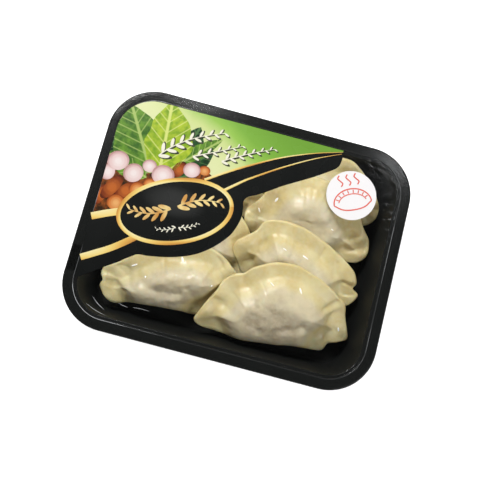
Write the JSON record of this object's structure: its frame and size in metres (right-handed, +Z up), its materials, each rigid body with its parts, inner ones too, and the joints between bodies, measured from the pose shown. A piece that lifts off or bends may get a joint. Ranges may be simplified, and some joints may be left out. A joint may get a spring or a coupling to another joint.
{
  "type": "tray of dumplings",
  "caption": "Sealed black plastic tray of folded half-moon dumplings under a clear lidding film, with a die-cut printed label and a small round sticker.",
  "frame": {"origin": "middle of the tray's underside, on the surface that the tray stands on", "axes": "+X along the tray's long side, +Y from its front (where the label leaves the dumplings bare) to its back, +Z up through the film"},
  "size_m": [0.227, 0.18, 0.041],
  "materials": {
    "tray": "black thermoformed polypropylene, satin to glossy",
    "film": "clear, thin, glossy lidding film",
    "label": "glossy print: black with gold bands, a green field and a plain oval",
    "sticker": "white coated paper",
    "dough": "boiled wheat dough, moist and slightly translucent"
  },
  "bodies": {
    "root": {"tray": "tray", "film": "film", "label": "label", "sticker": "sticker", "dumpling_front_right": "dough", "dumpling_second_right": "dough", "dumpling_third_right": "dough", "dumpling_back_right": "dough", "dumpling_front_left": "dough", "dumpling_second_left": "dough", "dumpling_back_left": "dough"}
  },
  "joints": []
}
